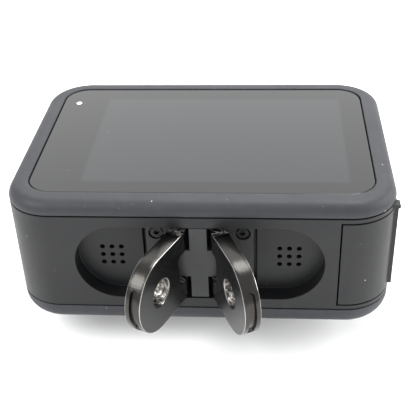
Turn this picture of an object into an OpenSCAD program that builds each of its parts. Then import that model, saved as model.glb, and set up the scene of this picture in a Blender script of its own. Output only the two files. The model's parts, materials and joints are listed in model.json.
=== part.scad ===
// Rugged action camera, lying on its lens cover with the rear screen up.
// +X points right as seen from the rear screen, +Y towards the shutter button and
// +Z out of the rear screen. The origin is the middle of the lens cover's front face.

/* [Casing] */
// Width of the casing, side to side
casing_w = 71.8; // [68:0.1:90]
// Height of the casing, from the folding fingers' face to the shutter button's face
casing_h = 50.8; // [49:0.1:64]
// Radius of the casing's four upright corners
corner_r = 8.8; // [7:0.1:10]
// Depth of the front cover
front_depth = 4.3; // [4.1:0.1:5.5]
// Depth of the middle band
band_depth = 20.3; // [19.8:0.1:26]
// Depth of the rear cover
rear_depth = 2.5; // [2.3:0.1:3.4]
// Width of the dark seams between the band and the covers
seam = 0.25; // [0.15:0.05:0.4]
// Wall of the middle band
band_wall = 2; // [1.8:0.1:2.6]
// Wall of the front cover
cover_wall = 1.5; // [1.3:0.1:2]
// Rounding of the front cover's edge
front_edge_r = 3.6; // [2:0.1:3.9]
// Rounding of the rear cover's edge
rear_edge_r = 2.2; // [1:0.1:2.2]

/* [Lens] */
// Distance from the lens axis to the casing's left side
lens_from_side = 19.5; // [18:0.1:21]
// Distance from the lens axis to the shutter button's face
lens_from_top = 19; // [18:0.1:20]
// Height of the lens cover in front of the front cover
lens_proud = 5.9; // [5.5:0.1:7]
// Side of the square lens cover
lens_cover_w = 31; // [28:0.1:33]
// Corner radius of the lens cover
lens_cover_r = 6; // [4:0.1:8]
// Side of the lens cover's glass
lens_glass_w = 25; // [22:0.1:26]
// Thickness of the lens cover's glass
lens_glass_t = 1.6; // [1.2:0.1:1.8]
// Outer radius of the lens barrel
barrel_r = 9; // [8:0.1:10]
// Wall of the lens barrel
barrel_wall = 1; // [0.8:0.1:1.2]

/* [Screens] */
// Width of the casing's rim beside the rear glass
rim_side = 3.95; // [3.6:0.05:5]
// Width of the rim on the fingers' side
rim_low = 4.5; // [3.6:0.05:5]
// Width of the rim on the shutter side
rim_high = 3.95; // [3.6:0.05:5]
// Corner radius of the rear glass
rear_glass_r = 4.8; // [3:0.1:6]
// Thickness of the rear glass
rear_glass_t = 1; // [0.8:0.1:1.2]
// How far the rear glass sits below the soft rim
glass_sink = 0.2; // [0:0.05:0.4]
// Depth of the rear display behind the glass
rear_display_t = 1.8; // [1.4:0.1:2]
// Width of the rear glass's black border on the status light's side
bezel_light = 9.8; // [8:0.1:12]
// Width of the black border on the three other sides
bezel = 4; // [3:0.1:6]
// Side of the square front window
front_glass_w = 29; // [26:0.1:30]
// Thickness of the front window
front_glass_t = 0.8; // [0.6:0.1:1]
// Depth of the front display behind its window
front_display_t = 1.6; // [1.2:0.1:1.8]

/* [Folding fingers] */
// Thickness of a finger
finger_t = 3; // [2.8:0.1:3.6]
// Radius of a finger's round end
finger_r = 7.35; // [7:0.05:8]
// Radius of the hole for a mount's thumb screw
finger_bore_r = 2.6; // [2.5:0.05:3]
// Distance from a finger's hinge pin to its hole
finger_len = 10.4; // [9.8:0.1:11.5]
// Gap between the fingers when they stand parallel
finger_gap = 3.2; // [3:0.1:4]
// Angle that each finger stands out from parallel at rest
splay = 24; // [5:1:40]
// Radius of the hinge pins
hinge_pin_r = 0.75; // [0.6:0.05:0.9]
// Radius of the knuckles on the hinge pins
knuckle_r = 1.3; // [1.2:0.05:1.4]
// Depth that a folded finger lies below the face
fold_depth = 0.2; // [0.1:0.05:0.5]
// Room around a folded finger
recess_gap = 0.65; // [0.3:0.05:0.8]
// Further room past a folded finger's tip, for a fingernail
nail_room = 1.5; // [1:0.1:2]
// Thickness of the recess floor
floor_t = 1.4; // [1.2:0.1:2]

/* [Side door] */
// Distance from the casing's right side to the door's hinge edge
door_from_side = 10.15; // [9.6:0.05:12]
// Distance from the fingers' face to the door's upper end
door_up = 42; // [41:0.1:42]
// Width of the gap around the door
door_gap = 0.25; // [0.15:0.05:0.35]
// Width of the band left on each side of the door
door_margin = 1.1; // [1:0.05:1.6]
// Height of the raised pad on the door
pad_proud = 0.35; // [0.3:0.05:0.8]
// Travel of the door's latch
latch_travel = 2; // [1.5:0.1:2.5]
// Radius of the door's hinge pin
door_pin_r = 0.6; // [0.5:0.05:0.7]

/* [Buttons] */
// Length of the shutter button
shutter_l = 13; // [11:0.1:14]
// Width of the shutter button
shutter_w = 9; // [7:0.1:10]
// Distance from the casing's right side to the middle of the shutter button
shutter_from_side = 18.5; // [17:0.1:22]
// Length of the mode button
mode_l = 11; // [9:0.1:13]
// Width of the mode button
mode_w = 5; // [4:0.1:6]
// Distance from the fingers' face to the middle of the mode button
mode_up = 27; // [25:0.1:30]
// Height of both buttons above the casing
button_proud = 0.7; // [0.5:0.05:0.9]
// Travel of both buttons
button_travel = 0.5; // [0.3:0.05:0.5]

/* [Inner parts] */
// Thickness of the battery
battery_t = 11.8; // [10.5:0.1:12]
// Wall of the battery's bay
bay_wall = 0.7; // [0.6:0.05:0.8]
// Thickness of the main circuit board
board_t = 0.9; // [0.8:0.1:1]
// Width of the memory card
card_w = 11; // [10.8:0.1:11.2]
// Length of the memory card
card_l = 15; // [14.8:0.1:15.2]
// Thickness of the memory card
card_t = 1; // [0.7:0.05:1.1]
// Radius of the small screws' threads
screw_r = 0.7; // [0.6:0.05:0.8]
// Radius of the small screws' heads
screw_head_r = 1.35; // [1.2:0.05:1.5]

/* [Hidden] */
$fn = 48;
hair = 0.02;
slack = 0.1;
room = 0.3;
cut = 1;

// Heights of the faces, from the floor up
z_front = lens_proud;
z_seam_low = z_front + front_depth;
z_band = z_seam_low + seam;
z_seam_high = z_band + band_depth;
z_rear = z_seam_high + seam;
z_top = z_rear + rear_depth;
z_mid = z_band + band_depth / 2;

// The casing's own places: x from its middle, y from the fingers' face
half_w = casing_w / 2;
lens_x = -half_w + lens_from_side;
lens_y = casing_h - lens_from_top;

// Rear screen
glass_low = rim_low;
glass_high = casing_h - rim_high;
glass_half = half_w - rim_side;
z_glass = z_top - glass_sink - rear_glass_t;
z_display = z_glass - rear_display_t;
ledge = 1.4;
adhesive_t = 0.1;
glass_gap = 0.2;
display_left = -glass_half + bezel_light;
display_right = glass_half - bezel;
display_low = glass_low + bezel;
display_high = glass_high - bezel;
light_x = -glass_half + 3.3;
light_y = glass_high - 6.5;
light_r = 0.55;

// Folding fingers
hinge_x = (finger_gap + finger_t) / 2;
hinge_y = fold_depth + finger_t / 2;
recess_depth = fold_depth + finger_t + fold_depth;
recess_r = finger_r + recess_gap;
recess_x = hinge_x + finger_len + nail_room;
tray_y = recess_depth + floor_t;
plate_t = 1.2;
back_y = recess_depth + plate_t + 1.6;
tray_x = recess_x + recess_r + floor_t;
tray_half = recess_r + floor_t;
plate_x = 10;
plate_gap = 0.15;
plate_side_gap = 0.55;
lug_half = 3;
lug_r = hinge_y - 0.15;
notch_r = lug_r + room;
post_half = hinge_x - knuckle_r - 0.15;
knuckle_in = lug_half + 0.2;
notch_len = finger_len - finger_bore_r - 3.9;
notch_corner = 0.8;
plate_half = recess_r - 0.6;
pin_l = 2 * finger_r;
mount_screw_x = 8;
mount_screw_z = 4.6;
mount_screw_l = 2;
mount_head_r = 1.1;
mount_head_gap = 0.3;
root_end = hinge_y + 0.05;

// Side door and its latch
door_edge_x = half_w - door_from_side;
door_z0 = z_band + door_margin;
door_z1 = z_seam_high - door_margin;
door_t = band_wall;
door_pin_x = door_edge_x + door_t / 2;
door_pin_y = door_t / 2;
door_knuckle_r = door_t / 2;
door_relief_r = norm([door_pin_x - door_edge_x, door_pin_y]) + 0.12;
pin_end = door_margin - room;
pad_y0 = 6.2;
pad_y1 = door_up - 13;
pad_edge = 0.5;
stop_y = 5;
stop_l = 2;
stop_w = 0.7;
latch_y1 = door_up - 1.5;
latch_y0 = latch_y1 - 7;
latch_w = 10;
latch_t = 0.9;
latch_gap = 0.15;
stem_w = 4;
stem_y1 = latch_y1 - 1.5;
stem_y0 = stem_y1 - 2;
bolt_t = 0.8;
bolt_w = 7;
bolt_y0 = stem_y0 - 0.2;
bolt_y1 = door_up - door_gap + 0.15;
gasket_t = 0.7;
gasket_w = 1.2;
guide_w = 1;
latch_proud = 0.25;
pin_slack = 0.05;
door_in = half_w - door_t;

// Screens on the front
front_glass_x = half_w - 5.2 - front_glass_w / 2;
front_glass_y = casing_h - 5.2 - front_glass_w / 2;
front_glass_r = 3.5;
z_front_display = z_front + front_glass_t;
front_light_x = front_glass_x;
front_light_y = front_glass_y - front_glass_w / 2 - 5;

// Lens
boss_w = lens_cover_w - 4.4;
boss_r = lens_cover_r - 1.2;
boss_proud = lens_proud - lens_glass_t - 1.3;
boss_hole = boss_w - 3.2;
z_boss = z_front - boss_proud;
z_cover_seat = z_boss - room;
z_barrel = z_boss + 0.8;
ring_t = 0.5;
dome_r = 14;
element_r = barrel_r - barrel_wall - slack;
lens_glass_r = lens_cover_r - 2;
z_flange = z_barrel + 14;
flange_w = 21;
flange_t = 1.6;
sensor_w = 8.4;
sensor_h = 6.6;
sensor_t = 0.9;
z_sensor_board = z_flange + flange_t + sensor_t;
sensor_board_t = 0.8;

// Battery bay, next to the lens
bay_x0 = lens_x + flange_w / 2 + 1.1;
bay_end = 1;
battery_gap = 0.25;
battery_x0 = bay_x0 + bay_end + battery_gap;
battery_x1 = door_in - 1.6;
z_bay = door_z0 + slack - battery_gap - bay_wall;
bay_y0 = back_y + 0.7;
bay_y1 = door_up - 8;
bay_z1 = z_bay + battery_t + 2 * (battery_gap + bay_wall);
bay_x1 = door_in - gasket_t - room;
gasket_y0 = max(bay_y0, corner_r);
gasket_h = bay_y1 - gasket_y0;
gasket_d = door_z1 - door_z0 - 0.6;
contact_w = 8;
contact_y = (bay_y0 + bay_y1) / 2;
contact_z = (z_bay + bay_z1) / 2;

// Buttons
shutter_x = half_w - shutter_from_side;
button_gap = 0.2;
flange_extra = 0.8;
button_flange_t = 0.7;
seal_t = 0.4;
dome_t = 0.5;
dome_gap = button_travel + slack;
dome_base_t = 0.4;
stem_r = 1;
stem_l = 0.3;
groove_deep = 0.3;
groove_at = 0.8;

// Main board, above the battery bay and the mode button's flange
z_board = max(bay_z1, z_sensor_board + sensor_board_t, z_mid + mode_w / 2 + flange_extra)
  + 0.4;
z_board_top = z_board + board_t;
board_gap = 0.4;
board_x1 = battery_x1 - 1;
board_y0 = back_y + 0.4;
board_y1 = casing_h - band_wall - 3.4;
shield_w = 22;
shield_t = 1.5;
shield_x = -9;
heat_t = 1;

// Memory card and its push-push slot
slot_wall = 0.2;
card_push = 0.8;
card_y = bay_y1 - 8;
card_out = 1.2;
slot_x1 = board_x1 - 0.2;
card_x1 = slot_x1 + card_out;
slot_l = card_l - card_out + card_push + slot_wall + slack;
slot_half = card_w / 2 + slack + slot_wall;
z_slot = z_board_top;
z_card = z_slot + slot_wall + slack;

// Charging socket
usb_w = 8.94;
usb_t = min(3.16, door_z1 - z_board_top - 0.1);
usb_wall = 0.3;
usb_l = 7.3;
usb_y = bay_y0 + 7;
usb_x1 = board_x1 + 1;
usb_z = z_board_top + usb_t / 2;
usb_tongue_t = 0.7;

// Screws inside the casing
board_boss_r = 2.1;
board_boss_l = 8;
board_boss_out = (corner_r - band_wall - board_boss_r + 0.3) / sqrt(2);
board_screw_l = 5;
screw_sink = 0.7;
seal_in = 0.35;
seal_w = 1.25;
mic_x = -4;
mic_y = mode_up + 13;
mic_hole_r = 0.5;

// Speaker and drain microphone behind the recess floor
grille_x = recess_x + 1.6;
z_grille = z_mid - 0.5;
grille_pitch = 1.8;
grille_r = 0.42;
mesh_t = 0.2;
mesh_w = 6.4;
speaker_w = 10;
speaker_h = 9;
speaker_t = board_y0 - tray_y - mesh_t - slack;

// Moves the casing's own places into the frame on the lens axis
module in_casing() {
  translate([-lens_x, -lens_y, 0]) children();
}

// ---- Shared shapes ----

// Half a disc, its flat side on the Y axis
module half_disc(r) {
  intersection() {
    circle(r);
    translate([0, -r - cut]) square([r + cut, 2 * (r + cut)]);
  }
}

// A slot outline of full length l along X and width w
module slot_outline(l, w) {
  straight = l - w;
  for (side = [0, 180]) rotate(side) translate([straight / 2, 0]) half_disc(w / 2);
  square([straight, w], center = true);
}

// Quarter of a disc in the first quadrant
module quarter_disc(r) {
  intersection() {
    circle(r);
    square(r + cut);
  }
}

// A rectangle with round corners, centred
module round_rect(w, h, r) {
  for (turn = [0 : 3]) {
    side_w = turn % 2 == 0 ? w : h;
    side_h = turn % 2 == 0 ? h : w;
    rotate(90 * turn) translate([side_w / 2 - r, side_h / 2 - r]) quarter_disc(r);
  }
  square([w - 2 * r, h], center = true);
  square([w, h - 2 * r], center = true);
}

// The casing's outline, moved in by a distance
module casing_outline(inset) {
  translate([0, casing_h / 2])
    round_rect(casing_w - 2 * inset, casing_h - 2 * inset, max(corner_r - inset, 0.5));
}

// Half of a slab's cross-section: x from 0 to w, y up to h, with a round upper edge
module edge_profile(w, h, r) {
  square([w - r, h]);
  square([w, h - r]);
  translate([w - r, h - r]) quarter_disc(r);
}

// A slab with the casing's outline and a round upper edge, its base at z = 0
module soft_slab(w, d, corner, h, r) {
  for (turn = [0 : 3]) {
    side_w = turn % 2 == 0 ? w : d;
    side_d = turn % 2 == 0 ? d : w;
    rotate([0, 0, 90 * turn])
      translate([side_w / 2 - corner, side_d / 2 - corner, 0])
        rotate_extrude(angle = 90) edge_profile(corner, h, r);
    rotate([0, 0, 90 * turn])
      translate([0, side_d / 2 - corner, 0])
        rotate([90, 0, 90])
          linear_extrude(side_w - 2 * corner, center = true) edge_profile(corner, h, r);
  }
  translate([0, 0, h / 2]) cube([w - 2 * corner, d - 2 * corner, h], center = true);
}

// The rear glass's outline, grown by a distance
module glass_outline(grow) {
  translate([0, (glass_low + glass_high) / 2])
    round_rect(2 * (glass_half + grow), glass_high - glass_low + 2 * grow,
      rear_glass_r + grow);
}

// A small screw along +Z: head from z = 0 up, thread down
module screw(head_r, head_t, thread_r, length) {
  difference() {
    cylinder(r = head_r, h = head_t);
    translate([0, 0, head_t - 0.5]) cylinder(r = head_r * 0.5, h = cut, $fn = 6);
  }
  translate([0, 0, -length]) cylinder(r = thread_r, h = length);
}

// ---- Casing ----

module rear_cover() {
  color("#45484c") in_casing() difference() {
    translate([0, casing_h / 2, z_rear])
      soft_slab(casing_w, casing_h, corner_r, rear_depth, rear_edge_r);
    translate([0, 0, z_glass - adhesive_t]) linear_extrude(rear_depth)
      glass_outline(glass_gap);
    translate([0, 0, z_rear - cut]) linear_extrude(rear_depth + cut)
      glass_outline(-ledge);
  }
}

// The three corners that hold a screw of the main board; the door fills the fourth
module board_screw_places() {
  for (corner = [[-1, 0], [-1, 1], [1, 1]])
    translate([corner.x * (half_w - corner_r + board_boss_out),
      corner.y == 1 ? casing_h - corner_r + board_boss_out : corner_r - board_boss_out, 0])
      children();
}

// The hole in the casing's right side and lower right corner that the door fills
module door_hole() {
  translate([door_edge_x - door_gap, -cut, door_z0 - door_gap])
    cube([door_from_side + door_gap + cut, door_up + cut, door_z1 - door_z0 + 2 * door_gap]);
}

// A slot outline extruded along +Y from y0 to y1, centred on the fingers' height
module along_y(y0, y1) {
  translate([0, y1, z_mid]) rotate([90, 0, 0]) linear_extrude(y1 - y0) children();
}

// The places of the nine sound holes on one side of the recess floor
module grille_places(side) {
  for (i = [-1 : 1]) for (k = [-1 : 1])
    translate([side * grille_x + i * grille_pitch, 0, z_grille + k * grille_pitch])
      rotate([-90, 0, 0]) children();
}

// The four places of the screws that hold the fingers' hinge plate
module mount_screw_places() {
  for (x = [-1, 1]) for (z = [-1, 1])
    translate([x * mount_screw_x, 0, z_mid + z * mount_screw_z]) children();
}

// Puts a shape on the shutter button's face, its +Z outwards
module at_shutter() {
  translate([shutter_x, casing_h, z_mid]) rotate([-90, 0, 0]) children();
}

// Puts a shape on the mode button's face, its +Z outwards and its X along the casing's Y
module at_mode() {
  translate([-half_w, mode_up, z_mid]) rotate([0, -90, 0]) rotate([0, 0, 90]) children();
}

// Puts a shape at each outside microphone hole, its +Z outwards
module at_microphones() {
  translate([mic_x, casing_h, z_mid]) rotate([-90, 0, 0]) children();
  translate([-half_w, mic_y, z_mid]) rotate([0, -90, 0]) children();
}

module middle_band() {
  color("#3a3d40") in_casing() difference() {
    union() {
      translate([0, 0, z_band]) linear_extrude(band_depth) difference() {
        casing_outline(0);
        casing_outline(band_wall);
      }
      along_y(band_wall / 2, tray_y) slot_outline(2 * tray_x, 2 * tray_half);
      along_y(tray_y - cut, back_y)
        square([2 * (plate_x + plate_side_gap + 0.65), 2 * plate_half], center = true);
      board_screw_places() translate([0, 0, z_board - board_boss_l])
        cylinder(r = board_boss_r, h = board_boss_l);
      translate([half_w - cut, stop_y, z_seam_high - stop_w - slack])
        cube([cut + pad_proud + slack, stop_l, stop_w]);
    }
    along_y(-cut, recess_depth) slot_outline(2 * (recess_x + recess_r), 2 * recess_r);
    along_y(recess_depth - cut, recess_depth + plate_t)
      square([2 * (plate_x + plate_side_gap), 2 * (plate_half - 1)], center = true);
    mount_screw_places() rotate([-90, 0, 0]) cylinder(r = screw_r + hair, h = back_y + cut);
    for (side = [-1, 1]) grille_places(side)
      cylinder(r = grille_r, h = tray_y + cut, $fn = 24);
    door_hole();
    translate([door_pin_x, door_pin_y, door_z0 - door_gap])
      cylinder(r = door_relief_r, h = door_z1 - door_z0 + 2 * door_gap);
    translate([door_pin_x, door_pin_y, door_z0 - pin_end])
      cylinder(r = door_pin_r + hair, h = door_z1 - door_z0 + 2 * pin_end);
    at_shutter() button_hole(shutter_l, shutter_w);
    at_mode() button_hole(mode_l, mode_w);
    board_screw_places() translate([0, 0, z_board - board_screw_l])
      cylinder(r = screw_r + hair, h = board_screw_l + cut);
    at_microphones() translate([0, 0, -band_wall - cut])
      cylinder(r = mic_hole_r, h = band_wall + 2 * cut, $fn = 24);
  }
}

module button_hole(l, w) {
  translate([0, 0, -band_wall - cut]) linear_extrude(band_wall + 2 * cut)
    slot_outline(l + 2 * button_gap, w + 2 * button_gap);
}

// A square centred on the lens axis, with round corners
module lens_square(w, r) {
  translate([lens_x, lens_y]) round_rect(w, w, r);
}

module front_window(grow) {
  translate([front_glass_x, front_glass_y])
    round_rect(front_glass_w + 2 * grow, front_glass_w + 2 * grow, front_glass_r + grow);
}

module front_cover() {
  color("#45484c") in_casing() difference() {
    union() {
      translate([0, casing_h / 2, z_seam_low]) mirror([0, 0, 1])
        soft_slab(casing_w, casing_h, corner_r, front_depth, front_edge_r);
      translate([0, 0, z_boss]) linear_extrude(boss_proud + cut)
        lens_square(boss_w, boss_r);
    }
    translate([0, 0, z_front + cover_wall]) linear_extrude(front_depth)
      casing_outline(band_wall);
    translate([0, 0, z_boss - cut]) linear_extrude(lens_proud + front_depth)
      lens_square(boss_hole, boss_r - 1);
    translate([0, 0, z_front - cut]) linear_extrude(front_glass_t + cut)
      front_window(slack);
    translate([0, 0, z_front - cut]) linear_extrude(front_depth + cut)
      front_window(-1);
    translate([front_light_x, front_light_y, z_front - cut])
      cylinder(r = light_r + hair, h = front_depth, $fn = 24);
  }
}

// A seal in a seam, a little inside the casing's surface
module seam_seal(z) {
  color("#0b0b0c") in_casing() translate([0, 0, z]) linear_extrude(seam) difference() {
    casing_outline(seal_in);
    casing_outline(seal_in + seal_w);
  }
}

module rear_seam_seal() {
  seam_seal(z_seam_high);
}

module front_seam_seal() {
  seam_seal(z_seam_low);
}

module board_screws() {
  color("#8d9094") in_casing() board_screw_places() translate([0, 0, z_board_top])
    screw(screw_head_r, screw_sink, screw_r, board_t + board_screw_l - slack);
}

// ---- Rear screen ----

module rear_glass() {
  color("#17191b") in_casing() difference() {
    translate([0, 0, z_glass]) linear_extrude(rear_glass_t) glass_outline(0);
    translate([light_x, light_y, z_glass - cut])
      cylinder(r = light_r + hair, h = rear_glass_t + 2 * cut, $fn = 24);
  }
}

module rear_glass_adhesive() {
  color("#101011") in_casing() translate([0, 0, z_glass - adhesive_t])
    linear_extrude(adhesive_t) difference() {
      glass_outline(0);
      glass_outline(-ledge);
    }
}

module rear_display() {
  color("#3a3f44") in_casing()
    translate([(display_left + display_right) / 2, (display_low + display_high) / 2,
      z_display])
      linear_extrude(rear_display_t)
        round_rect(display_right - display_left, display_high - display_low, 0.5);
}

module status_light_rear() {
  color("white") in_casing() translate([light_x, light_y, z_glass - 1.5])
    cylinder(r = light_r, h = rear_glass_t + 1.5, $fn = 24);
}

// ---- Front ----

module front_glass() {
  color("#17191b") in_casing() translate([0, 0, z_front]) linear_extrude(front_glass_t)
    front_window(0);
}

module front_display() {
  color("#2e3236") in_casing()
    translate([front_glass_x, front_glass_y, z_front_display])
      linear_extrude(front_display_t)
        round_rect(front_glass_w - 3, front_glass_w - 3, 1);
}

module status_light_front() {
  color("white") in_casing() translate([front_light_x, front_light_y, z_front])
    cylinder(r = light_r, h = 2.5, $fn = 24);
}

// ---- Lens ----

module lens_cover_frame() {
  color("#2a2c2e") in_casing() difference() {
    linear_extrude(z_front - room) lens_square(lens_cover_w, lens_cover_r);
    translate([0, 0, -cut]) linear_extrude(lens_glass_t + cut)
      lens_square(lens_glass_w + 2 * hair, lens_glass_r + hair);
    translate([0, 0, -cut]) linear_extrude(lens_proud)
      lens_square(lens_glass_w - 3, lens_glass_r - 1.5);
    translate([0, 0, z_cover_seat]) linear_extrude(lens_proud)
      lens_square(boss_w + 2 * slack, boss_r + slack);
  }
}

module lens_cover_glass() {
  color([0.55, 0.62, 0.68, 0.35]) in_casing() linear_extrude(lens_glass_t)
    lens_square(lens_glass_w, lens_glass_r);
}

module lens_cover_seal() {
  color("#0b0b0c") in_casing() translate([0, 0, z_cover_seat])
    linear_extrude(z_boss - z_cover_seat) difference() {
      lens_square(boss_w, boss_r);
      lens_square(boss_w - 2, boss_r - 1);
    }
}

module lens_barrel() {
  color("#1b1c1e") difference() {
    translate([0, 0, z_barrel]) cylinder(r = barrel_r, h = z_flange - z_barrel);
    translate([0, 0, z_barrel - cut])
      cylinder(r = barrel_r - barrel_wall, h = z_flange - z_barrel + 2 * cut);
  }
}

module lens_retaining_ring() {
  color("#303236") translate([0, 0, z_barrel - ring_t]) difference() {
    cylinder(r = barrel_r, h = ring_t);
    translate([0, 0, -cut]) cylinder(r = barrel_r - barrel_wall - 1, h = ring_t + 2 * cut);
  }
}

module lens_front_element() {
  color([0.25, 0.2, 0.45, 0.5]) intersection() {
    translate([0, 0, z_boss + dome_r + slack]) sphere(dome_r, $fn = 96);
    translate([0, 0, z_boss]) cylinder(r = element_r, h = 4.6);
  }
}

module lens_inner_elements() {
  color([0.45, 0.6, 0.6, 0.5]) for (i = [0 : 2])
    translate([0, 0, z_boss + 6 + 3 * i]) cylinder(r = element_r, h = 1.4);
}

module lens_flange() {
  color("#26282a") translate([0, 0, z_flange]) linear_extrude(flange_t) difference() {
    round_rect(flange_w, flange_w, 1.5);
    circle(barrel_r - barrel_wall - 1);
  }
}

module image_sensor() {
  color("#3b2f55") translate([-sensor_w / 2, -sensor_h / 2, z_flange + flange_t])
    cube([sensor_w, sensor_h, sensor_t]);
}

module sensor_board() {
  color("#1e4a33") translate([0, 0, z_sensor_board]) linear_extrude(sensor_board_t)
    round_rect(flange_w - 1, flange_w - 1, 1);
}

// ---- Electronics ----

module main_board() {
  color("#1e4a33") in_casing() translate([0, 0, z_board]) linear_extrude(board_t)
    difference() {
      casing_outline(band_wall + board_gap);
      translate([board_x1, -cut]) square([casing_w, casing_h]);
      translate([-tray_x - board_gap, -cut]) square([casing_w, board_y0 + cut]);
      translate([shutter_x - shutter_l / 2 - 2, board_y1])
        square([shutter_l + 4, casing_h]);
      board_screw_places() circle(screw_r + hair);
    }
}

module processor_shield() {
  color("#9a9da0") in_casing()
    translate([shield_x, casing_h / 2, z_board_top]) linear_extrude(shield_t)
      round_rect(shield_w, shield_w, 1);
}

module heat_spreader() {
  color("#b5b7b9") in_casing()
    translate([lens_x, lens_y, z_sensor_board + sensor_board_t + 0.2])
      linear_extrude(heat_t) round_rect(flange_w, flange_w, 1);
}

module battery_bay() {
  color("#202225") in_casing() difference() {
    translate([bay_x0, bay_y0, z_bay])
      cube([bay_x1 - bay_x0, bay_y1 - bay_y0, bay_z1 - z_bay]);
    translate([bay_x0 + bay_end, bay_y0 + bay_wall, z_bay + bay_wall])
      cube([casing_w, bay_y1 - bay_y0 - 2 * bay_wall, bay_z1 - z_bay - 2 * bay_wall]);
    translate([bay_x0 - cut, contact_y - contact_w / 2 - slack, contact_z - 1 - slack])
      cube([bay_end + 2 * cut, contact_w + 2 * slack, 2 + 2 * slack]);
  }
}

module battery() {
  color("#33363a") in_casing()
    translate([battery_x0, (bay_y0 + bay_y1) / 2, (z_bay + bay_z1) / 2])
      rotate([90, 0, 90]) linear_extrude(battery_x1 - battery_x0)
        round_rect(bay_y1 - bay_y0 - 2 * (bay_wall + battery_gap), battery_t, 1.2);
}

module battery_pull_tab() {
  color("#c9542b") in_casing()
    translate([battery_x1, (bay_y0 + bay_y1) / 2 - 4, z_bay + bay_wall + 1])
      cube([0.4, 8, battery_t - 2]);
}

module battery_contacts() {
  color("#c8a24a") in_casing()
    translate([bay_x0 - 0.8, contact_y - contact_w / 2, contact_z - 1])
      cube([bay_end + 0.8 + battery_gap - slack, contact_w, 2]);
}

module card_slot() {
  color("#a8abad") in_casing() difference() {
    translate([slot_x1 - slot_l, card_y - slot_half, z_slot])
      cube([slot_l, 2 * slot_half, card_t + 2 * (slack + slot_wall)]);
    translate([slot_x1 - slot_l + slot_wall, card_y - slot_half + slot_wall,
      z_slot + slot_wall])
      cube([slot_l, 2 * (slot_half - slot_wall), card_t + 2 * slack]);
  }
}

module memory_card() {
  color("#1c1d20") in_casing() translate([card_x1 - card_l, card_y - card_w / 2, z_card])
    cube([card_l, card_w, card_t]);
}

module usb_socket() {
  color("#b9bcbf") in_casing() translate([usb_x1 - usb_l, usb_y, usb_z])
    rotate([90, 0, 90]) difference() {
      linear_extrude(usb_l) slot_outline(usb_w, usb_t);
      translate([0, 0, usb_wall]) linear_extrude(usb_l)
        slot_outline(usb_w - 2 * usb_wall, usb_t - 2 * usb_wall);
    }
}

module usb_tongue() {
  color("#17181a") in_casing()
    translate([usb_x1 - usb_l + usb_wall, usb_y - 3.3, usb_z - usb_tongue_t / 2])
      cube([usb_l - 1, 6.6, usb_tongue_t]);
}

module speaker() {
  color("#2a2b2d") in_casing()
    translate([-grille_x - speaker_w / 2, tray_y + mesh_t, z_mid - speaker_h / 2])
      cube([speaker_w, speaker_t, speaker_h]);
}

module grille_meshes() {
  color("#0e0e0f") in_casing() for (side = [-1, 1])
    translate([side * grille_x - mesh_w / 2, tray_y, z_mid - mesh_w / 2])
      cube([mesh_w, mesh_t, mesh_w]);
}

module drain_microphone() {
  color("#c0a868") in_casing()
    translate([grille_x - 2, tray_y + mesh_t, z_mid - 1.5]) cube([4, 1, 3]);
}

module microphones() {
  color("#c0a868") in_casing() at_microphones()
    translate([-1.5, -1.2, -band_wall - 1.1]) cube([3, 2.4, 1]);
}

// ---- Folding fingers ----

module hinge_plate() {
  color("#2c2e30") in_casing() difference() {
    along_y(recess_depth, recess_depth + plate_t)
      square([2 * plate_x, 2 * (plate_half - 1 - plate_gap)], center = true);
    mount_screw_places() translate([0, recess_depth - cut, 0]) rotate([-90, 0, 0])
      cylinder(r = mount_head_r + mount_head_gap, h = cut + screw_sink);
    mount_screw_places() translate([0, recess_depth - cut, 0]) rotate([-90, 0, 0])
      cylinder(r = screw_r + hair, h = plate_t + 2 * cut);
  }
}

module centre_post() {
  color("#3a3d40") in_casing() difference() {
    union() {
      translate([-post_half, hinge_y - lug_r, z_mid - recess_r + plate_gap])
        cube([2 * post_half, recess_depth - hinge_y + lug_r,
          2 * (recess_r - plate_gap)]);
      translate([0, 0, z_mid - lug_half]) linear_extrude(2 * lug_half) {
        translate([-hinge_x, hinge_y - lug_r])
          square([2 * hinge_x, recess_depth - hinge_y + lug_r]);
        for (side = [-1, 1]) translate([side * hinge_x, hinge_y])
          rotate(side > 0 ? 0 : 180) half_disc(lug_r);
      }
    }
    for (side = [-1, 1]) translate([side * hinge_x, hinge_y, z_mid - lug_half - cut])
      cylinder(r = hinge_pin_r + hair, h = 2 * (lug_half + cut));
  }
}

module hinge_screws() {
  color("#1d1e20") in_casing() mount_screw_places()
    translate([0, recess_depth + screw_sink, 0]) rotate([90, 0, 0])
      screw(mount_head_r, screw_sink - slack, screw_r, mount_screw_l);
}

module hinge_pin(side) {
  color("#c4c6c8") in_casing() translate([side * hinge_x, hinge_y, z_mid - pin_l / 2])
    cylinder(r = hinge_pin_r, h = pin_l);
}

module left_hinge_pin() {
  hinge_pin(-1);
}

module right_hinge_pin() {
  hinge_pin(1);
}

// A finger on its pin, turned out from parallel; side is -1 on the left and 1 on the right
// The notch that clears the lug, with milled corners: X is along the finger, back from its pin
module notch_outline() {
  translate([-notch_len + notch_corner, -knuckle_in])
    square([notch_len - notch_corner, 2 * knuckle_in]);
  translate([-notch_len, -knuckle_in + notch_corner])
    square([notch_corner + cut, 2 * (knuckle_in - notch_corner)]);
  for (end = [-1, 1])
    translate([-notch_len + notch_corner, end * (knuckle_in - notch_corner)])
      circle(notch_corner);
}

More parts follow.
